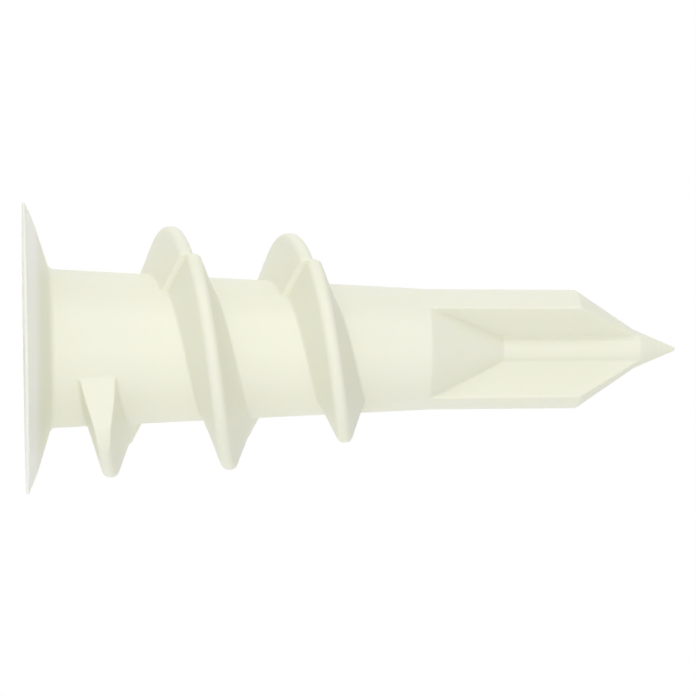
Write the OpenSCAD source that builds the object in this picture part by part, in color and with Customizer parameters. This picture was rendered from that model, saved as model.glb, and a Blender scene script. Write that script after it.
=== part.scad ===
// Self-drilling drywall anchor, moulded in one piece.
// The origin is the centre of the head's outer face and +Z runs to the drill point.
// Units are mm and degrees. A turn angle is counted from +X towards +Y.

/* [Head] */
// radius of the head's rim
head_r = 7.29; // [7:0.01:7.6]
// thickness of the rim at its edge
rim_h = 0.15; // [0.12:0.01:0.2]
// width of the steeper lip inside the rim
lip_w = 1.04; // [0.9:0.01:1.2]
// height of the lip's inner edge above the outer face
lip_h = 0.575; // [0.55:0.005:0.6]
// radius of the soft edge between the lip and the cone
lip_round = 3; // [2:0.1:4]
// height at which the head's cone meets the shank
head_h = 1.29; // [1.2:0.01:1.4]

/* [Shank] */
// radius of the shank under the head
shank_r = 3.975; // [3.875:0.01:4.055]
// radius of the shank where its taper ends
shank_end_r = 3.04; // [2.98:0.01:3.1]
// height at which the shank's taper ends
shank_end_z = 20.4; // [20.3:0.05:20.6]

/* [Thread] */
// rise of the thread in one turn
pitch = 5.97; // [5.9:0.005:6.05]
// height of the thread's middle at a turn angle of 360
thread_z = 4.45; // [4.2:0.005:4.5]
// crest radius at a turn angle of 360
crest_r = 6.369; // [6.2:0.001:6.6]
// crest radius lost in one turn
crest_taper = 0.345; // [0.3:0.005:0.45]
// half the width of the crest
crest_half = 0.281; // [0.26:0.001:0.32]
// widening of each flank for each mm of depth
flank_slope = 0.36; // [0.24:0.01:0.38]
// rounding of the crest's edges
crest_round = 0.21; // [0.12:0.01:0.25]
// rounding where the thread meets the shank
root_round = 0.2; // [0.12:0.01:0.4]
// turn angle that the flat start face looks to
face_turn = 250.4; // [248:0.1:253]
// distance of the flat start face from the axis
face_off = 2.96; // [2.8:0.01:3]
// turn by which the start face's outer corner is rounded back
corner_turn = 8; // [4:0.5:12]
// lift of the thread's middle at its start, away from the head
start_lift = 0.1; // [0:0.01:0.15]
// share of the flanks' slope that is missing at the start
start_slim = 0.25; // [0:0.01:0.3]
// turn angle from which the thread has its even section
even_turn = 400; // [390:1:410]
// turn angle at which the thread starts to run out
fade_turn = 1042; // [1030:0.5:1050]
// turn angle at which it has sunk into the shank
end_turn = 1095; // [1090:1:1115]
// turn angle of the mould's parting plane
parting = 219.5; // [217:0.5:221]
// step that the thread takes at the parting plane
parting_step = 0.34; // [0.25:0.01:0.4]

/* [Drill point] */
// radius of the round rib between the flutes
rib_r = 0.89; // [0.8:0.01:0.95]
// height at which the ramp into the flutes leaves the shank
ramp_start_z = 20.2; // [20:0.05:20.25]
// height at which the ramp reaches the rib
ramp_end_z = 24.1; // [23.8:0.05:24.4]
// radius of the cutting lands at the end of the shank
land_r = 2.995; // [2.9:0.005:3.03]
// height at which the lands' slanted cutting edges start
edge_start_z = 27.85; // [27.7:0.05:28.1]
// height at which they reach the rib
edge_end_z = 31; // [30.85:0.05:31.15]
// radius of the blunt tip
tip_r = 0.08; // [0.05:0.01:0.15]
// length from the head's outer face to the tip
length = 33; // [32.6:0.1:33.6]
// turn angle of the flute's flatter wall
flat_wall = 228.4; // [225:0.1:231]
// turn angle of the flute's steeper wall
steep_wall = 327; // [324:0.5:330]
// position of the flute's inner corner along X
corner_x = -0.2; // [-0.3:0.01:-0.1]
// position of the flute's inner corner along Y
corner_y = -0.12; // [-0.2:0.01:-0.05]

/* [Screw hole] */
// radius of the cross recess over its arms at the outer face
cross_r = 3.05; // [2.9:0.01:3.15]
// width of one arm of the cross
arm_w = 1.5; // [1.3:0.05:1.7]
// radius of the recess's round middle at the outer face
well_r = 2.3; // [2.2:0.01:2.45]
// depth of the recess
recess_d = 6.5; // [6:0.1:7]
// radius of the pilot hole
pilot_r = 1.6; // [1.5:0.01:1.65]
// depth of the pilot hole's straight wall, from the outer face
pilot_d = 20.4; // [19.5:0.1:20.6]

/* [Hidden] */
nylon = [0.93, 0.93, 0.88];
round_sides = 96;
cut = 0.5;              // overshoot of the cutting shapes
rim_edge = 0.04;        // softening of the rim's two edges
sink = 0.1;             // depth at which the thread's root ends inside the shank
ring_step = 7.5;        // largest turn between two thread sections
seam = 0.4;             // half the turn that a parting step takes up
blend_turn = 355;       // turn angle at which the sections stand square again
corner_depth = 0.6;     // depth of the start face's rounded outer corner

// Turn angles of the thread's first section, the four parting steps and the last section
first_turn = start_at(crest_r);
stops = [first_turn, for (k = [1:4]) parting + 180 * k, end_turn];
last_stop = len(stops) - 1;
turns = [
    for (k = [0:last_stop - 1])
        let (a = stops[k] + (k > 0 ? seam : 0))
        let (b = stops[k + 1] - (k < last_stop - 1 ? seam : 0))
        let (n = ceil((b - a) / ring_step))
        for (i = [0:n]) a + (b - a) * i / n
];

function shank_at(z) = shank_r + (shank_end_r - shank_r) * (z - head_h) / (shank_end_z - head_h);

// How early turn t is in the thread: 1 at the first section, 0 once the section is even
function early(t) = max(0, (even_turn - t) / (even_turn - first_turn));

// Height of the section's middle. Each half of the mould cuts its half turns a little flatter
// than the pitch, and the thread makes up for it with a step at each parting plane.
function mid_z(t) = thread_z + pitch * (t - 360) / 360 + start_lift * pow(early(t), 2)
    - parting_step * (((t - parting) % 180) / 180 - 0.5);
function slope(t) = flank_slope * (1 - start_slim * early(t));
function full_r(t) = crest_r - crest_taper * (t - 360) / 360;
function fade(t) = max(0, (t - fade_turn) / (end_turn - fade_turn));

// Outermost and innermost radius of the thread's section at turn t, the last for one flank
function outer_r(t) = full_r(t) - (full_r(t) - shank_at(mid_z(t)) + sink / 2) * fade(t);
function inner_r(t, side) = shank_at(mid_z(t) + side) - sink;

// Turn at which the start face stands at radius r, and section turn t followed to radius r
function start_at(r) =
    face_turn + acos(face_off / r) + corner_turn * pow(max(0, 1 - (crest_r - r) / corner_depth), 2);
function turn_at(t, r) =
    t > blend_turn ? t : t + (blend_turn - t) / (blend_turn - first_turn) * (start_at(r) - first_turn);

// Half the section's width at turn t and radius r, with rounded crest edges and root
function half_w(t, r, top, low) =
    let (scale = min(1, (top - low) / 0.8))
    let (root = root_round * scale, edge = crest_round * scale)
    let (d = max(0, min(root, root - r + low)), e = min(edge, max(0, r - top + edge)))
    crest_half + slope(t) * (top - r)
        + root - sqrt(root * root - d * d) - edge + sqrt(edge * edge - e * e);

// Height of one flank at turn t and radius r
function flank_z(t, r, side) =
    let (top = outer_r(t))
    mid_z(t) + side * half_w(t, min(r, top), top, inner_r(t, side));

// Radii of one flank's points, from inside the shank's wall out to the crest
function levels(top, low) =
    let (scale = min(1, (top - low) / 0.8))
    let (root = low + root_round * scale, edge = crest_round * scale)
    [low - 0.3, low, low + 0.3 * (root - low), low + 0.6 * (root - low), root,
     (root + top - edge) / 2, top - edge, top - 0.3 * edge, top];

function flank(t, side) = [
    for (r = levels(outer_r(t), inner_r(t, side)))
        let (q = turn_at(t, r))
        [r * cos(q), r * sin(q), flank_z(q, r, side)]
];
function backwards(list) = [for (i = [len(list) - 1:-1:0]) list[i]];
function section(t) = concat(flank(t, -1), backwards(flank(t, 1)));
function split(a, b, c, d) = [[a, b, c], [a, c, d]];

// Raised flight of the thread, one closed strip of sections from the start face to the run-out
module flight() {
    rings = [for (t = turns) section(t)];
    m = len(rings[0]);
    last = (len(rings) - 1) * m;
    half = m / 2 - 2;
    sides = [
        for (i = [0:len(rings) - 2], j = [0:m - 1])
            let (a = i * m + j, b = i * m + (j + 1) % m)
            each split(a, b, b + m, a + m)
    ];
    start_cap = [for (j = [0:half]) each split(j, m - 1 - j, m - 2 - j, j + 1)];
    end_cap = [for (j = [0:half]) each split(last + j, last + j + 1, last + m - 2 - j, last + m - 1 - j)];
    polyhedron([for (ring = rings) each ring], concat(sides, start_cap, end_cap), convexity = 12);
}

// Round body: head with a lip and a cone under it, tapered shank and pointed end
module turned_body() {
    lip_start = head_r - lip_w;
    lip_angle = atan2(lip_h - rim_h, lip_w);
    cone_angle = atan2(head_h - lip_h, lip_start - shank_r);
    reach = lip_round * tan((lip_angle - cone_angle) / 2);
    soft_edge = [
        for (i = [0:3])
            let (a = lip_angle + (cone_angle - lip_angle) * i / 3)
            [lip_start + reach * cos(lip_angle) + lip_round * (sin(a) - sin(lip_angle)),
             lip_h - reach * sin(lip_angle) + lip_round * (cos(a) - cos(lip_angle))]
    ];
    edge_slope = (land_r - rib_r) / (edge_end_z - edge_start_z);
    nose_z = edge_end_z - 0.15;
    nose_r = rib_r + 0.15 * edge_slope;
    rotate_extrude($fn = round_sides)
        polygon(concat([
            [0, 0],
            [head_r - rim_edge, 0],
            [head_r, rim_edge],
            [head_r, rim_h - rim_edge],
            [head_r - rim_edge, rim_h]
        ], soft_edge, [
            [shank_r, head_h],
            [shank_end_r, shank_end_z],
            [land_r, edge_start_z],
            [nose_r, nose_z],
            [tip_r, length],
            [0, length]
        ]));
}

// Ramp out of the shank and the round rib, which stay between the flutes
module rib() {
    start_r = shank_at(ramp_start_z);
    ramp_slope = (start_r - rib_r) / (ramp_end_z - ramp_start_z);
    rotate_extrude($fn = round_sides)
        polygon([
            [0, ramp_start_z - cut],
            [start_r + cut * ramp_slope, ramp_start_z - cut],
            [rib_r, ramp_end_z],
            [rib_r, length + 2 * cut],
            [0, length + 2 * cut]
        ]);
}

// One V-shaped flute with two flat walls, cleared around the ramp and the rib
module flute() {
    far = 9;
    difference() {
        translate([0, 0, ramp_start_z - cut / 2])
            linear_extrude(length + cut - ramp_start_z)
                polygon([
                    [corner_x, corner_y],
                    [corner_x + far * cos(flat_wall), corner_y + far * sin(flat_wall)],
                    [corner_x + far * cos(steep_wall), corner_y + far * sin(steep_wall)]
                ]);
        rib();
    }
}

// Cross recess for the driver: a tapered round middle with four tapered arms
module recess() {
    floor_r = pilot_r + 0.12;
    taper = (cross_r - floor_r - 0.1) / recess_d;
    translate([0, 0, -cut])
        cylinder(h = recess_d + cut, r1 = well_r + 0.05, r2 = floor_r, $fn = round_sides);
    intersection() {
        translate([0, 0, -cut])
            cylinder(h = recess_d + cut - 0.2, r1 = cross_r + cut * taper, r2 = floor_r + 0.1,
                     $fn = round_sides);
        for (turn = [0, 90])
            rotate([0, 0, turn])
                translate([-cross_r - cut, -arm_w / 2, -2 * cut])
                    cube([2 * (cross_r + cut), arm_w, recess_d + 3 * cut]);
    }
}

// Blind hole that guides the screw, with the tapered end of its core pin
module pilot_hole() {
    translate([0, 0, cut])
        cylinder(h = pilot_d - cut, r = pilot_r, $fn = round_sides);
    translate([0, 0, pilot_d])
        cylinder(h = 0.6 * pilot_r, r1 = pilot_r, r2 = 0.4 * pilot_r, $fn = round_sides);
}

// Whole anchor
module anchor_body() {
    color(nylon)
        difference() {
            union() {
                difference() {
                    turned_body();
                    for (turn = [0, 180])
                        rotate([0, 0, turn]) flute();
                }
                flight();
            }
            recess();
            pilot_hole();
        }
}

anchor_body();
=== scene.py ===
import math

import bpy
import numpy as np
from bpy.props import FloatProperty, FloatVectorProperty, IntProperty, PointerProperty
from mathutils import Matrix, Vector


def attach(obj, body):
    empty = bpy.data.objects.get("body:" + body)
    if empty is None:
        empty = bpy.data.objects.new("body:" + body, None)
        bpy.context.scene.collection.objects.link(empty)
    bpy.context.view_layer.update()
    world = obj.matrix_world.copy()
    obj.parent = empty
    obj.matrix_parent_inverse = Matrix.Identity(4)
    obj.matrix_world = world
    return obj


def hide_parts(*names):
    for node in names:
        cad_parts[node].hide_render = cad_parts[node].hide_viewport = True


bl_info = {
    "name": "Drywall Anchor",
    "version": (1, 0, 0),
    "blender": (4, 5, 0),
    "location": "View3D > Sidebar > Anchor",
    "description": "Self-drilling drywall anchor moulded in nylon, with its studio stage",
    "category": "Object",
}

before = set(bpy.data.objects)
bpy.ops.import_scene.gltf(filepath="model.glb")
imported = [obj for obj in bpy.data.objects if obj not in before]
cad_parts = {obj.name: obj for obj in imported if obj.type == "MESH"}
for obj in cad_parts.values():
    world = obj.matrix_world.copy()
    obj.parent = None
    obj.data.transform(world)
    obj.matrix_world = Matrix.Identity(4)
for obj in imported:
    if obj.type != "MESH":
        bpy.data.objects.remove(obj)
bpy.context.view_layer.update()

# The pieces are modelled in millimetres, because the voxel remesh has a smallest
# size, and are brought to metres at the end.
MM = 1000.0

# A tool's facets are turned by a little, so that its edges never lie on the body's, and it
# reaches past what it cuts.
OFF_SEAM = math.radians(0.47)
SPARE = 0.0005

# Small steps of the drill point and of the holes
NOSE = 0.00015        # the nose starts this far before the cutting edges end
LEDGE = 0.00012       # width of the ledge where the recess meets the pilot hole
LEDGE_FALL = 0.00002  # fall of the ledge towards the pilot hole
ARM_STEP = 0.0001     # the arms' lower ends reach this far past the ledge
ARM_RISE = 0.0002     # the arms end this far above the ledge
WELL_STEP = 0.00005   # widening of the recess's middle up to its tool's end
PIN_LENGTH = 0.6      # length of the pilot hole's tapered end, in its radii
PIN_TIP = 0.4         # radius of the pilot hole's blunt end, in its radii


def size(name, text, metres):
    """A length that the panel shows in the scene's unit."""
    return FloatProperty(name=name, description=text, default=metres, unit="LENGTH", precision=6)


def turn(name, text, degrees):
    """An angle that the panel shows in degrees."""
    return FloatProperty(name=name, description=text, default=math.radians(degrees), subtype="ANGLE")


def factor(name, text, value):
    """A plain number that isn't negative."""
    return FloatProperty(name=name, description=text, default=value, min=0.0, precision=4)


def colour(name, text, rgb):
    """A linear colour."""
    return FloatVectorProperty(name=name, description=text, default=rgb, size=3, min=0.0, max=1.0,
                               subtype="COLOR")


class AnchorBodySizes(bpy.types.PropertyGroup):
    """Head, shank and drill point, as turned before the flutes are cut."""
    head_radius: size("Head Radius", "Radius of the head's rim", 0.00729)
    rim_height: size("Rim Height", "Thickness of the rim at its edge", 0.00015)
    rim_edge: size("Rim Edge", "Softening of the rim's two edges", 0.00004)
    lip_width: size("Lip Width", "Width of the steeper lip inside the rim", 0.00104)
    lip_height: size("Lip Height", "Height of the lip's inner edge over the outer face", 0.000575)
    lip_round: size("Lip Rounding", "Radius of the soft edge between the lip and the cone", 0.003)
    head_height: size("Head Height", "Height at which the head's cone meets the shank", 0.00129)
    lean_down: factor("Head Lean Down", "Lean of the head towards the tip, along X", 0.0135)
    lean_back: factor("Head Lean Back", "Lean of the head towards the tip, along Y", 0.015)
    lean_end: size("Lean End", "Height at which the lean has died away", 0.0024)
    head_shift: size("Head Shift", "How far the head sits off the shank's axis, along X", -0.000095)
    head_lift: size("Head Lift", "How far the head sits towards the tip", 0.000045)
    neck_round: size("Neck Rounding", "Radius of the fillet between head and shank", 0.0003)
    shank_radius: size("Shank Radius", "Radius of the shank under the head", 0.003975)
    shank_end_radius: size("Shank End Radius", "Radius where the shank's taper ends", 0.00304)
    shank_end: size("Shank End", "Height at which the shank's taper ends", 0.0204)
    land_radius: size("Land Radius", "Radius of the lands at the end of the shank", 0.002995)
    edge_start: size("Edge Start", "Height at which the slanted cutting edges start", 0.02785)
    edge_end: size("Edge End", "Height at which the cutting edges reach the rib", 0.031)
    tip_radius: size("Tip Radius", "Radius of the blunt tip", 0.00008)
    length: size("Length", "Length from the outer face to the tip", 0.033)


class AnchorPointSizes(bpy.types.PropertyGroup):
    """Flutes of the drill point and the rib between them."""
    rib_radius: size("Rib Radius", "Radius of the round rib between the flutes", 0.00089)
    ramp_start: size("Ramp Start", "Height at which the ramp leaves the shank", 0.0202)
    ramp_end: size("Ramp End", "Height at which the ramp reaches the rib", 0.0241)
    flat_wall: turn("Flat Wall", "Turn angle of the flute's flatter wall", 228.4)
    steep_wall: turn("Steep Wall", "Turn angle of the flute's steeper wall", 327.0)
    corner_x: size("Corner X", "Place of the flute's inner corner along X", -0.0002)
    corner_y: size("Corner Y", "Place of the flute's inner corner along Y", -0.00012)


class AnchorThreadSizes(bpy.types.PropertyGroup):
    """The raised flight of the thread."""
    pitch: size("Pitch", "Rise of the thread in one turn", 0.00597)
    first_height: size("First Height", "Height of the thread's middle at a turn of 360 degrees", 0.00445)
    crest_radius: size("Crest Radius", "Crest radius at a turn of 360 degrees", 0.006369)
    crest_taper: size("Crest Taper", "Crest radius lost in one turn", 0.000345)
    crest_half: size("Crest Half Width", "Half the width of the crest", 0.000281)
    flank_slope: factor("Flank Slope", "Widening of each flank for each unit of depth", 0.36)
    crest_round: size("Crest Rounding", "Rounding of the crest's edges", 0.00021)
    root_round: size("Root Rounding", "Rounding where the thread meets the shank", 0.0002)
    face_turn: turn("Face Turn", "Turn angle that the flat start face looks to", 250.4)
    face_offset: size("Face Offset", "Distance of the flat start face from the axis", 0.00296)
    corner_turn: turn("Corner Turn", "Turn by which the start face's outer corner is rounded back", 8.0)
    corner_depth: size("Corner Depth", "Depth of the start face's rounded outer corner", 0.0006)
    blend_turn: turn("Blend Turn", "Turn angle at which the sections stand square again", 355.0)
    start_lift: size("Start Lift", "Lift of the thread's middle at its start, away from the head", 0.0001)
    start_slim: factor("Start Slimming", "Share of the flanks' slope missing at the start", 0.25)
    even_turn: turn("Even Turn", "Turn angle from which the thread has its even section", 400.0)
    fade_turn: turn("Fade Turn", "Turn angle at which the thread starts to run out", 1042.0)
    end_turn: turn("End Turn", "Turn angle at which the thread has sunk into the shank", 1095.0)
    parting: turn("Parting Plane", "Turn angle of the mould's parting plane", 219.5)
    parting_step: size("Parting Step", "Step that the thread takes at the parting plane", 0.00034)


class AnchorHoleSizes(bpy.types.PropertyGroup):
    """Cross recess for the driver and the screw's pilot hole."""
    cross_radius: size("Cross Radius", "Radius over the arms of the cross at the outer face", 0.00305)
    arm_width: size("Arm Width", "Width of one arm of the cross", 0.0015)
    well_radius: size("Well Radius", "Radius of the recess's round middle at the outer face", 0.0023)
    recess_depth: size("Recess Depth", "Depth of the cross recess", 0.0065)
    pilot_radius: size("Pilot Radius", "Radius of the pilot hole", 0.0016)
    pilot_depth: size("Pilot Depth", "Depth of the pilot hole's straight wall", 0.0204)


class AnchorFinish(bpy.types.PropertyGroup):
    """Surface of the moulded nylon."""
    nylon: colour("Nylon", "Colour of the natural nylon", (0.841, 0.846, 0.712))
    shade: colour("Nylon Shade", "Colour where the nylon is a little yellower", (0.831, 0.836, 0.685))
    # Painted light: thin is a paler colour painted on the head's rim in place of the light that comes
    # through the thin nylon there. The seven sizes after it place this painted glow by radius and height.
    thin: colour("Thin Rim", "Colour where the head's thin rim lets light through", (0.94, 0.94, 0.88))
    painted_glow_start: size("Thin Start", "Radius from which the head grows paler", 0.0045)
    painted_glow_width: size("Thin Width", "Width over which the head grows paler", 0.0019)
    painted_glow_height: size("Thin Height", "Height from which the head has its plain colour", 0.0009)
    painted_glow_fade: size("Thin Fade", "Height over which the paler colour dies away", 0.0004)
    painted_glow_edge_start: size("Rim Start", "Radius from which the rim's own edge grows less pale", 0.0072)
    painted_glow_edge_width: size("Rim Width", "Width over which the rim's own edge grows less pale", 0.00005)
    painted_glow_edge_share: factor("Rim Share", "Share of the paleness that the rim's own edge lacks", 0.6)
    roughness: factor("Roughness", "Least roughness of the satin surface", 0.4)
    roughness_change: factor("Roughness Change", "How much the roughness changes over the surface", 0.08)
    relief: factor("Relief", "Strength of the grain and of the marks of the flow", 0.06)
    grain: size("Grain", "Size of the mould's fine grain", 0.00012)
    voxel: size("Surface Cell", "Size of the cells that the moulded surface is made from", 0.00005)
    soften: IntProperty(name="Softening", description="Rounds of softening of the moulded edges",
                        default=6, min=0, max=40)
    triangles: IntProperty(name="Triangles", description="Triangles left in the finished surface",
                           default=180000, min=20000)


class AnchorStage(bpy.types.PropertyGroup):
    """Camera, lamps and backdrop."""
    camera_distance: size("Camera Distance", "Distance from the camera to the anchor's axis", 0.19)
    camera_height: size("Camera Height", "Height of the camera along the anchor's axis", -0.0042)
    camera_side: size("Camera Side", "Camera's offset across the axis", -0.000076)
    camera_turn: turn("Camera Turn", "Turn of the view towards the tip", 6.1608)
    camera_roll: turn("Camera Roll", "Roll of the view", 0.109)
    lens: factor("Lens", "Focal length in millimetres on a 36 mm sensor", 196.306)
    backdrop: colour("Backdrop", "Colour of the floor", (0.9, 0.9, 0.9))
    floor_half: size("Floor Half", "Half the width of the floor", 1.5)
    floor_drop: size("Floor Drop", "How far the floor lies under the anchor", 0.00001)
    ambient: factor("Ambient", "Strength of the light from all round", 0.134)
    tent_front: factor("Tent Front", "Light from the camera's side", 0.353)
    tent_back: factor("Tent Back", "Light from behind the anchor", 0.557)
    tent_top: factor("Tent Top", "Light from above in the picture", 0.705)
    tent_bottom: factor("Tent Bottom", "Light from below in the picture", 0.663)
    tent_head: factor("Tent at Head", "Light from beyond the head", 0.274)
    tent_tip: factor("Tent at Tip", "Light from beyond the tip", 0.0)
    key: factor("Key Lamp", "Power of the key lamp in watts", 0.194)
    fill: factor("Fill Lamp", "Power of the fill lamp in watts", 0.115)
    front: factor("Front Lamp", "Power of the lamp in front of the anchor in watts", 0.185)
    lamp_tint: colour("Lamp Colour", "Colour of the three lamps", (0.96, 0.96, 1.0))
    lamp_width: size("Lamp Width", "Width of the three round lamps", 0.24)
    lamp_height: size("Lamp Height", "Height of the three lamps and of the spot that they light", 0.014)
    lamp_side: size("Lamp Side", "How far the key lamp stands above, the fill lamp below, and both in front",
                    0.2475)
    lamp_front: size("Lamp Front", "How far the front lamp stands in front of the anchor", 0.35)


class Wire:
    """One output of a node, which takes part in sums as a number would."""

    def __init__(self, graph, socket):
        self.graph, self.socket = graph, socket

    def math(self, operation, *others):
        return self.graph.node("ShaderNodeMath", self, *others, operation=operation)

    def __add__(self, other):
        return self.math("ADD", other)

    def __sub__(self, other):
        return self.math("SUBTRACT", other)

    def __mul__(self, other):
        return self.math("MULTIPLY", other)

    def __truediv__(self, other):
        return self.math("DIVIDE", other)

    def __pow__(self, other):
        return self.math("POWER", other)

    def __rsub__(self, other):
        return self.graph.node("ShaderNodeMath", other, self, operation="SUBTRACT")

    def __rtruediv__(self, other):
        return self.graph.node("ShaderNodeMath", other, self, operation="DIVIDE")

    __radd__, __rmul__ = __add__, __mul__

    def root(self):
        return self.math("MAXIMUM", 0.0).math("SQRT")

    def cap(self, low, high):
        return self.math("MAXIMUM", low).math("MINIMUM", high)

    def ramp(self, start, width):
        """Rises from 0 at a start to 1 at a width past it."""
        return ((self - start) / width).cap(0.0, 1.0)


class Graph:
    """A node tree with one call for any node."""

    def __init__(self, tree):
        self.tree = tree

    def node(self, kind, *values, out=0, named=None, **settings):
        """Adds a node, sets it up, feeds its inputs in order or by name and gives an output.

        A tuple of outputs gives a list of them."""
        made = self.tree.nodes.new(kind)
        for key, value in settings.items():
            setattr(made, key, value)
        for key, value in [*enumerate(values), *(named or {}).items()]:
            if isinstance(value, Wire):
                self.tree.links.new(value.socket, made.inputs[key])
            elif value is not None:
                made.inputs[key].default_value = value
        if isinstance(out, tuple):
            return [Wire(self, made.outputs[key]) for key in out]
        return Wire(self, made.outputs[out]) if len(made.outputs) else None


def emptied(block):
    """Graph of a new material or world, without the nodes that it starts with."""
    block.use_nodes = True
    block.node_tree.nodes.clear()
    return Graph(block.node_tree)


# Meshes ---------------------------------------------------------------------------------------

def new_piece(name, points, faces):
    """A mesh object from plain lists, linked to the scene."""
    mesh = bpy.data.meshes.new(name)
    mesh.from_pydata(points, [], faces)
    mesh.update()
    piece = bpy.data.objects.new(name, mesh)
    bpy.context.scene.collection.objects.link(piece)
    return piece


def drop(piece):
    """Removes an object and its mesh."""
    mesh = piece.data
    bpy.data.objects.remove(piece)
    bpy.data.meshes.remove(mesh)


def settle(piece):
    """Turns a piece with modifiers into the plain mesh that they make."""
    bpy.context.view_layer.update()
    made = bpy.data.meshes.new_from_object(piece.evaluated_get(bpy.context.evaluated_depsgraph_get()))
    if not len(made.polygons):
        raise RuntimeError(f"nothing is left of {piece.name}")
    old = piece.data
    piece.modifiers.clear()
    piece.data = made
    made.name = piece.name
    bpy.data.meshes.remove(old)


def turned(name, profile, sides=256, first=0.0):
    """Closed body of revolution about Z, in millimetres from a profile in metres.

    The profile starts and ends on the axis."""
    profile = [(r * MM, z * MM) for r, z in profile]
    points = [(0.0, 0.0, profile[0][1])]
    for r, z in profile[1:-1]:
        for k in range(sides):
            a = first + 2 * math.pi * k / sides
            points.append((r * math.cos(a), r * math.sin(a), z))
    points.append((0.0, 0.0, profile[-1][1]))
    last = len(points) - 1
    rings = range(1, last, sides)
    faces = []
    for k in range(sides):
        n = (k + 1) % sides
        faces.append((0, rings[0] + n, rings[0] + k))
        faces += [(a + k, a + n, b + n, b + k) for a, b in zip(rings, rings[1:])]
        faces.append((rings[-1] + k, rings[-1] + n, last))
    return new_piece(name, points, faces)


def prism(name, outline, low, high):
    """Closed upright prism, in millimetres from metres, over an outline that runs anticlockwise."""
    n = len(outline)
    points = [(x * MM, y * MM, z * MM) for z in (low, high) for x, y in outline]
    faces = [tuple(range(n))[::-1], tuple(range(n, 2 * n))]
    faces += [(k, (k + 1) % n, n + (k + 1) % n, n + k) for k in range(n)]
    return new_piece(name, points, faces)


def combine(piece, tool, operation):
    """Cuts, crosses or joins a closed solid with another, which is then gone."""
    step = piece.modifiers.new(operation, "BOOLEAN")
    step.operation, step.object, step.solver = operation, tool, "EXACT"
    settle(piece)
    drop(tool)
    return piece


def quarter_turns(piece, count):
    """Turns a piece about the axis by quarter turns."""
    piece.data.transform(Matrix.Rotation(count * math.pi / 2, 4, "Z"))
    return piece


# Turned body ----------------------------------------------------------------------------------

def shank_at(body, z):
    """Radius of the tapered shank at a height, in the units of z."""
    run = (z - body.head_height) / (body.shank_end - body.head_height)
    return body.shank_radius + (body.shank_end_radius - body.shank_radius) * run


def fillet(before, corner, after, radius, steps=8):
    """Points of an arc that rounds the corner of a profile."""
    a, c, b = Vector(before), Vector(corner), Vector(after)
    u, v = (a - c).normalized(), (b - c).normalized()
    half = u.angle(v) / 2
    reach = radius / math.tan(half)
    middle = c + (u + v).normalized() * (radius / math.sin(half))
    start, end = c + u * reach - middle, c + v * reach - middle
    sweep = start.angle(end)
    points = []
    for k in range(steps + 1):
        p = (start * math.sin(sweep * (1 - k / steps)) + end * math.sin(sweep * k / steps)) / math.sin(sweep)
        points.append(tuple(middle + p))
    return points


def make_turned_body(scene):
    """Head, shank and pointed end as one turned solid."""
    b, p = scene.anchor_body, scene.anchor_point
    rim = (b.head_radius - b.rim_edge, b.rim_height)
    foot = (b.shank_radius, b.head_height)
    lip = fillet(rim, (b.head_radius - b.lip_width, b.lip_height), foot, b.lip_round)
    neck = fillet(lip[-1], foot, (b.shank_end_radius, b.shank_end), b.neck_round)
    slope = (b.land_radius - p.rib_radius) / (b.edge_end - b.edge_start)
    nose = (p.rib_radius + NOSE * slope, b.edge_end - NOSE)
    profile = [(0.0, 0.0), (b.head_radius - b.rim_edge, 0.0), (b.head_radius, b.rim_edge),
               (b.head_radius, b.rim_height - b.rim_edge), rim, *lip, *neck,
               (b.shank_end_radius, b.shank_end), (b.land_radius, b.edge_start), nose,
               (b.tip_radius, b.length), (0.0, b.length)]
    return turned("turned_body", profile)


def lean_head(scene, piece):
    """Leans the head a little out of square, as the moulding cooled."""
    b = scene.anchor_body
    for v in piece.data.vertices:
        fade = (b.lean_end * MM - v.co.z) / ((b.lean_end - b.head_height) * MM)
        fade = min(1.0, max(0.0, fade))
        v.co.z += (b.lean_down * v.co.x + b.lean_back * v.co.y + b.head_lift * MM) * fade
        v.co.x += b.head_shift * MM * fade


def make_flute(scene):
    """One V-shaped flute, cleared around the ramp and the rib."""
    b, p = scene.anchor_body, scene.anchor_point
    far = 0.009  # well outside the shank
    corner = Vector((p.corner_x, p.corner_y))
    outline = [corner]
    for wall in (p.flat_wall, p.steep_wall):
        outline.append(corner + far * Vector((math.cos(wall), math.sin(wall))))
    flute = prism("flute", outline, p.ramp_start - SPARE / 2, b.length + SPARE)
    start = shank_at(b, p.ramp_start)
    slope = (start - p.rib_radius) / (p.ramp_end - p.ramp_start)
    profile = [(0.0, p.ramp_start - SPARE), (start + SPARE * slope, p.ramp_start - SPARE),
               (p.rib_radius, p.ramp_end), (p.rib_radius, b.length + 2 * SPARE), (0.0, b.length + 2 * SPARE)]
    return combine(flute, turned("rib", profile, first=OFF_SEAM), "DIFFERENCE")


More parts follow.
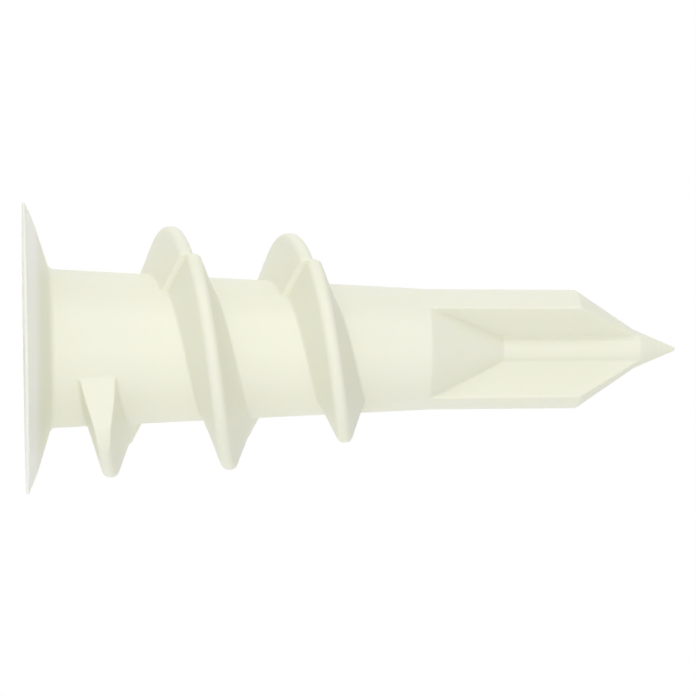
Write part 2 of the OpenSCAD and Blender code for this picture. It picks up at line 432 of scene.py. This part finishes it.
def make_holes(scene):
    """Cross recess and pilot hole as one cutting solid."""
    h = scene.anchor_holes
    floor = h.pilot_radius + LEDGE
    arm_end, arm_depth = floor + ARM_STEP, h.recess_depth - ARM_RISE
    taper = (h.cross_radius - arm_end) / h.recess_depth
    arms = turned("arms", [(0.0, -SPARE), (h.cross_radius + SPARE * taper, -SPARE), (arm_end, arm_depth),
                           (0.0, arm_depth)], sides=128, first=OFF_SEAM)
    reach, half = h.cross_radius + SPARE, h.arm_width / 2
    quarter, cross = [(reach, half), (half, half), (half, reach)], []
    for _ in range(4):
        cross += quarter
        quarter = [(-y, x) for x, y in quarter]
    combine(arms, prism("cross", cross, -2 * SPARE, h.recess_depth + SPARE), "INTERSECT")
    hole_end = h.pilot_depth + PIN_LENGTH * h.pilot_radius
    well = turned("well", [(0.0, -1.5 * SPARE), (h.well_radius + WELL_STEP, -1.5 * SPARE),
                           (floor, h.recess_depth), (h.pilot_radius, h.recess_depth + LEDGE_FALL),
                           (h.pilot_radius, h.pilot_depth), (PIN_TIP * h.pilot_radius, hole_end),
                           (0.0, hole_end)], sides=128, first=2 * OFF_SEAM)
    return combine(arms, well, "UNION")


# Thread ---------------------------------------------------------------------------------------

# Lengths inside the flight, in millimetres
FOOT = 0.1        # depth of the flanks' foot in the shank
CORE = 0.5        # depth at which the strip closes on itself in the shank
FULL_DEPTH = 0.8  # depth of thread from which its roundings have their full size


def thread_tree(values):
    """Geometry nodes of the thread's flight: a closed strip of sections along the helix.

    Each section runs from inside the shank up one flank, over the crest and down the other.
    Each half of the mould cuts its half turns a little flatter than the pitch, and the thread
    makes up for it with a step at each parting plane."""
    tree = bpy.data.node_groups.new("Thread Flight", "GeometryNodeTree")
    tree.interface.new_socket("Geometry", in_out="OUTPUT", socket_type="NodeSocketGeometry")
    kinds = {float: "NodeSocketFloat", int: "NodeSocketInt"}
    for name, value in values.items():
        kind = kinds.get(type(value), "NodeSocketMaterial")
        tree.interface.new_socket(name, in_out="INPUT", socket_type=kind)
    g = Graph(tree)
    given = dict(zip(values, g.node("NodeGroupInput", out=tuple(values))))
    tau = 2 * math.pi

    def start_at(r):
        """Turn at which the start face stands at a radius."""
        plain = given["Face Turn"] + (given["Face Offset"] / r).cap(-1.0, 1.0).math("ARCCOSINE")
        corner = (1.0 - (given["Crest Radius"] - r) / given["Corner Depth"]).math("MAXIMUM", 0.0)
        return plain + given["Corner Turn"] * corner * corner

    first = start_at(given["Crest Radius"])

    def early(t):
        """1 at the first section, 0 once the section is even."""
        return ((given["Even Turn"] - t) / (given["Even Turn"] - first)).math("MAXIMUM", 0.0)

    def mid_z(t):
        """Height of the section's middle."""
        half_turn = (t - given["Parting Plane"]).math("MODULO", math.pi) / math.pi
        plain = given["First Height"] + given["Pitch"] * ((t - tau) / tau)
        lift = given["Start Lift"] * early(t) * early(t)
        return plain + lift - given["Parting Step"] * (half_turn - 0.5)

    def shank(z):
        return given["Shank Radius"] - given["Shank Taper"] * z

    def outer(t):
        """Radius of the crest."""
        full = given["Crest Radius"] - given["Crest Taper"] * ((t - tau) / tau)
        fade = ((t - given["Fade Turn"]) / (given["End Turn"] - given["Fade Turn"])).math("MAXIMUM", 0.0)
        return full - (full - shank(mid_z(t)) + FOOT / 2) * fade

    def half_width(t, r, top, low):
        """Half the section's width at a radius, with rounded crest edges and root."""
        scale = ((top - low) / FULL_DEPTH).cap(0.01, 1.0)
        root, edge = given["Root Rounding"] * scale, given["Crest Rounding"] * scale
        d = (root - r + low).cap(0.0, root)
        e = (r - top + edge).cap(0.0, edge)
        slope = given["Flank Slope"] * (1.0 - given["Start Slimming"] * early(t))
        plain = given["Crest Half Width"] + slope * (top - r)
        return plain + root - (root * root - d * d).root() - edge + (edge * edge - e * e).root()

    # A grid gives the section's number along the helix and the place across it
    sections = given["Sections"]
    grid = g.node("GeometryNodeMeshGrid", 1.0, 1.0, sections, given["Section Points"])
    x, y = g.node("ShaderNodeSeparateXYZ", g.node("GeometryNodeInputPosition"), out=(0, 1))
    along, across = (x + 0.5) * (sections - 1.0), y * 2.0
    side, a = across.math("SIGN"), across.math("ABSOLUTE")

    # The two sides of the first and of the last section meet, which closes the strip
    run = along.ramp(1.0, sections - 3.0)
    open_end = 1.0 - along.math("LESS_THAN", 0.5) - along.math("GREATER_THAN", sections - 1.5)

    # Shares of the points from the crest's middle over the flank to the end inside the shank
    crest, flank, inner = 0.1, 0.8, 0.05
    on_crest = (a / crest).cap(0.0, 1.0)
    down = a.ramp(crest, flank) ** 1.5
    inside = a.ramp(crest + flank, inner)
    shut = 1.0 - a.ramp(crest + flank + inner, inner)

    t = first + (given["End Turn"] - first) * run
    top, low = outer(t), shank(mid_z(t) + side * open_end) - FOOT
    core = shank(mid_z(t)) - CORE
    r = top - (top - low) * down
    r = r + (core - r) * inside

    # The sections lean into the flat start face over the first stretch
    lean = ((given["Blend Turn"] - t) / (given["Blend Turn"] - first)).math("MAXIMUM", 0.0)
    q = t + lean * (start_at(r) - first)
    crest_r = outer(q)
    width = half_width(q, r.math("MINIMUM", crest_r), crest_r, shank(mid_z(q) + side) - FOOT)
    z = mid_z(q) + side * width * on_crest * shut * open_end

    spot = g.node("ShaderNodeCombineXYZ", r * q.math("COSINE"), r * q.math("SINE"), z)
    shaped = g.node("GeometryNodeSetPosition", grid, None, spot)
    closed = g.node("GeometryNodeMergeByDistance", shaped, named={"Distance": 0.0005})
    real = g.node("GeometryNodeRealizeInstances", closed)
    g.node("NodeGroupOutput", g.node("GeometryNodeSetMaterial", real, named={"Material": given["Material"]}))
    return tree


def make_thread(scene, material):
    """The thread's flight as a closed mesh, in millimetres.

    The tree's inputs are named as the thread's sizes are."""
    b, t = scene.anchor_body, scene.anchor_thread
    values = {}
    for key in AnchorThreadSizes.__annotations__:
        prop = t.bl_rna.properties[key]
        values[prop.name] = getattr(t, key) * (MM if prop.unit == "LENGTH" else 1.0)
    taper = (b.shank_radius - b.shank_end_radius) / (b.shank_end - b.head_height)
    values["Shank Radius"] = (b.shank_radius + taper * b.head_height) * MM
    values["Shank Taper"] = taper
    values["Sections"] = 1700
    values["Section Points"] = 97
    values["Material"] = material
    flight = new_piece("flight", [(0, 0, 0)], [])
    step = flight.modifiers.new("Thread Flight", "NODES")
    step.node_group = tree = thread_tree(values)
    for item in tree.interface.items_tree:
        if item.in_out == "INPUT":
            step[item.identifier] = values[item.name]
    settle(flight)
    bpy.data.node_groups.remove(tree)
    return flight


# Moulded surface ------------------------------------------------------------------------------

def soften(mesh, rounds):
    """Evens out a dense mesh, which rounds its edges.

    Each point goes a share of the way to the mean of its neighbours. Every second pass goes
    the other way, against shrinking."""
    count = len(mesh.vertices)
    ends = np.empty(len(mesh.edges) * 2, dtype=np.int64)
    mesh.edges.foreach_get("vertices", ends)
    a, b = ends[0::2], ends[1::2]
    near = np.bincount(a, minlength=count) + np.bincount(b, minlength=count)
    spots = np.empty(count * 3)
    mesh.vertices.foreach_get("co", spots)
    spots = spots.reshape(-1, 3)
    for share in (0.6, -0.55) * rounds:
        total = [np.bincount(a, spots[b, c], count) + np.bincount(b, spots[a, c], count) for c in range(3)]
        mean = np.stack(total, 1) / np.maximum(near, 1)[:, None]
        spots = spots + share * (mean - spots)
    mesh.vertices.foreach_set("co", spots.ravel())
    mesh.update()


def join(name, pieces):
    """One mesh that holds all the closed pieces, which are then gone."""
    points, faces = [], []
    for piece in pieces:
        start = len(points)
        points += [tuple(v.co) for v in piece.data.vertices]
        faces += [tuple(start + i for i in f.vertices) for f in piece.data.polygons]
        drop(piece)
    return new_piece(name, points, faces)


def mould(scene, piece):
    """Gives the joined solids the even, soft-edged skin of one moulding."""
    f = scene.anchor_finish
    skin = piece.modifiers.new("Skin", "REMESH")
    skin.mode, skin.voxel_size = "VOXEL", f.voxel * MM * 1.0
    settle(piece)
    soften(piece.data, f.soften)
    thin = piece.modifiers.new("Thin", "DECIMATE")
    thin.ratio = min(1.0, f.triangles / (2.0 * len(piece.data.polygons)))
    settle(piece)
    piece.data.transform(Matrix.Scale(1 / MM, 4))
    piece.data.shade_smooth()
    return piece


# Finish ---------------------------------------------------------------------------------------

def nylon_material(scene):
    """Natural nylon: satin, a little translucent, with painted light at the head's thin rim.

    The mould leaves a fine grain on it, and the flow of the nylon leaves wider marks."""
    f = scene.anchor_finish
    material = bpy.data.materials.new("natural_nylon")
    g = emptied(material)
    spot = g.node("ShaderNodeTexCoord", out=3)

    def noise(scale, detail, roughness):
        return g.node("ShaderNodeTexNoise", named={"Vector": spot, "Scale": scale, "Detail": detail,
                                                   "Roughness": roughness})

    def mix(share, low, high):
        return g.node("ShaderNodeMix", named={0: share, 6: low, 7: high}, out=2, data_type="RGBA")

    cloud = noise(scale=260.0, detail=3.0, roughness=0.5).cap(0.0, 1.0)
    grain = noise(scale=1.0 / f.grain, detail=2.0, roughness=0.6)
    flow = noise(scale=900.0, detail=4.0, roughness=0.55)

    # Painted light: the head is painted paler from a radius outwards and near its outer face, where light
    # comes through the thin rim. The rim's own edge gets less of this painted glow.
    x, y, z = g.node("ShaderNodeSeparateXYZ", spot, out=(0, 1, 2))
    r = (x * x + y * y).root()
    pale = r.ramp(f.painted_glow_start, f.painted_glow_width) * ((f.painted_glow_height - z) / f.painted_glow_fade).cap(0.0, 1.0)
    pale = pale * (1.0 - f.painted_glow_edge_share * r.ramp(f.painted_glow_edge_start, f.painted_glow_edge_width))

    # The base colour mixes the nylon's random tone with the painted glow at the rim.
    surface = g.node("ShaderNodeBsdfPrincipled", named={
        "Base Color": mix(pale, mix(cloud, (*f.shade, 1.0), (*f.nylon, 1.0)), (*f.thin, 1.0)),
        "Roughness": f.roughness + f.roughness_change * flow,
        "Normal": g.node("ShaderNodeBump", named={"Strength": f.relief, "Distance": 0.00002,
                                                  "Height": grain * 0.6 + flow * 0.4}),
        "IOR": 1.5, "Specular IOR Level": 0.8, "Subsurface Weight": 0.3,
        "Subsurface Radius": (1.0, 0.95, 0.5), "Subsurface Scale": 0.0004})
    g.node("ShaderNodeOutputMaterial", surface)
    return material


class ANCHOR_OT_anchor(bpy.types.Operator):
    """Make the moulded anchor: turned body, flutes, screw hole and thread in one skin"""
    bl_idname = "anchor.make_anchor"
    bl_label = "Make Anchor"

    def execute(self, context):
        scene = context.scene
        nylon = nylon_material(scene)
        body = make_turned_body(scene)
        for half_turn in (0, 1):
            combine(body, quarter_turns(make_flute(scene), 2 * half_turn), "DIFFERENCE")
        combine(body, make_holes(scene), "DIFFERENCE")
        lean_head(scene, body)
        piece = mould(scene, join("moulded_anchor", [body, make_thread(scene, nylon)]))
        piece.data.materials.clear()
        piece.data.materials.append(nylon)
        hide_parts("anchor_body")
        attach(piece, "root")
        return {"FINISHED"}


# Stage ----------------------------------------------------------------------------------------

def floor_material(scene):
    """White floor that the camera sees from above.

    Light from below passes through it, as in a light tent."""
    material = bpy.data.materials.new("white_floor")
    g = emptied(material)
    from_camera = g.node("ShaderNodeLightPath", out="Is Camera Ray")
    from_below = g.node("ShaderNodeNewGeometry", out="Backfacing")
    white = g.node("ShaderNodeBsdfDiffuse", (*scene.anchor_stage.backdrop, 1.0))
    clear = g.node("ShaderNodeBsdfTransparent")
    g.node("ShaderNodeOutputMaterial",
           g.node("ShaderNodeMixShader", from_camera * (1.0 - from_below), clear, white))
    return material


def white_world(scene):
    """White behind the anchor, and the soft light of a tent whose walls differ in brightness."""
    s = scene.anchor_stage
    walls = ((s.tent_front, (0, -1, 0)), (s.tent_back, (0, 1, 0)), (s.tent_top, (-1, 0, 0)),
             (s.tent_bottom, (1, 0, 0)), (s.tent_head, (0, 0, -1)), (s.tent_tip, (0, 0, 1)))
    scene.world = bpy.data.worlds.new("studio")
    g = emptied(scene.world)
    way = g.node("ShaderNodeTexCoord", out=0)
    tent = s.ambient
    for level, wall in walls:
        facing = g.node("ShaderNodeVectorMath", way, wall, operation="DOT_PRODUCT", out=1)
        tent = facing.math("MAXIMUM", 0.0) * level + tent
    camera, glossy, through = g.node("ShaderNodeLightPath", out=("Is Camera Ray", "Is Glossy Ray",
                                                                 "Is Transmission Ray"))
    seen = camera.math("MAXIMUM", glossy).math("MAXIMUM", through).math("MINIMUM", 1.0)
    light = g.node("ShaderNodeBackground", (1.0, 1.0, 1.0, 1.0), tent + seen * (1.0 - tent))
    g.node("ShaderNodeOutputWorld", light)


def round_lamp(scene, name, down, distance, power):
    """A round lamp in front of the anchor that looks at its middle, placed as the picture sees it."""
    s = scene.anchor_stage
    data = bpy.data.lights.new(name, "AREA")
    data.shape, data.size, data.energy, data.color = "DISK", s.lamp_width, power, s.lamp_tint
    lamp = bpy.data.objects.new(name, data)
    lamp.location = (down, -distance, s.lamp_height)
    ahead = Vector((0.0, 0.0, s.lamp_height)) - lamp.location
    lamp.rotation_euler = ahead.to_track_quat("-Z", "Y").to_euler()
    scene.collection.objects.link(lamp)


def make_camera(scene):
    """The photograph's camera, which sees the anchor lie with its head at the left."""
    s = scene.anchor_stage
    data = bpy.data.cameras.new("camera")
    data.sensor_width, data.lens = 36.0, s.lens
    data.clip_start, data.clip_end = 0.005, 20.0
    ahead = Vector((0.0, math.cos(s.camera_turn), math.sin(s.camera_turn)))
    right = Vector((0.0, -math.sin(s.camera_turn), math.cos(s.camera_turn)))
    roll = Matrix.Rotation(s.camera_roll, 3, ahead)
    axes = Matrix((roll @ right, roll @ Vector((-1.0, 0.0, 0.0)), -ahead)).transposed().to_4x4()
    place = Matrix.Translation((s.camera_side, -s.camera_distance, s.camera_height))
    scene.camera = bpy.data.objects.new("camera", data)
    scene.camera.matrix_world = place @ axes
    scene.collection.objects.link(scene.camera)


class ANCHOR_OT_stage(bpy.types.Operator):
    """Make the white floor, the soft lamps and the photograph's camera"""
    bl_idname = "anchor.make_stage"
    bl_label = "Make Stage"

    def execute(self, context):
        scene, s = context.scene, context.scene.anchor_stage
        corners = [(x * s.floor_half, y * s.floor_half, -s.floor_drop)
                   for x, y in ((-1, -1), (1, -1), (1, 1), (-1, 1))]
        floor = new_piece("floor", corners, [(0, 1, 2, 3)])
        floor.data.materials.append(floor_material(scene))
        white_world(scene)
        round_lamp(scene, "key", -s.lamp_side, s.lamp_side, s.key)
        round_lamp(scene, "fill", s.lamp_side, s.lamp_side, s.fill)
        round_lamp(scene, "front", 0.0, s.lamp_front, s.front)
        make_camera(scene)
        scene.view_settings.view_transform = "Standard"
        return {"FINISHED"}


class ANCHOR_PT_panel(bpy.types.Panel):
    """Sizes, finish and stage of the drywall anchor"""
    bl_idname = "ANCHOR_PT_panel"
    bl_label = "Drywall Anchor"
    bl_space_type = "VIEW_3D"
    bl_region_type = "UI"
    bl_category = "Anchor"

    def draw(self, context):
        for operator in OPERATORS:
            self.layout.operator(operator.bl_idname)
        for name, group in GROUPS.items():
            box = self.layout.box()
            box.label(text=group.__doc__.split(".")[0])
            for prop in group.__annotations__:
                box.prop(getattr(context.scene, name), prop)


GROUPS = {
    "anchor_body": AnchorBodySizes,
    "anchor_point": AnchorPointSizes,
    "anchor_thread": AnchorThreadSizes,
    "anchor_holes": AnchorHoleSizes,
    "anchor_finish": AnchorFinish,
    "anchor_stage": AnchorStage,
}
OPERATORS = (ANCHOR_OT_anchor, ANCHOR_OT_stage)


def register():
    for cls in (*GROUPS.values(), *OPERATORS, ANCHOR_PT_panel):
        bpy.utils.register_class(cls)
    for name, group in GROUPS.items():
        setattr(bpy.types.Scene, name, PointerProperty(type=group))


def unregister():
    for name in GROUPS:
        delattr(bpy.types.Scene, name)
    for cls in (ANCHOR_PT_panel, *OPERATORS, *GROUPS.values()):
        bpy.utils.unregister_class(cls)


def main():
    register()
    bpy.ops.anchor.make_anchor()
    bpy.ops.anchor.make_stage()


if __name__ == "__main__":
    main()
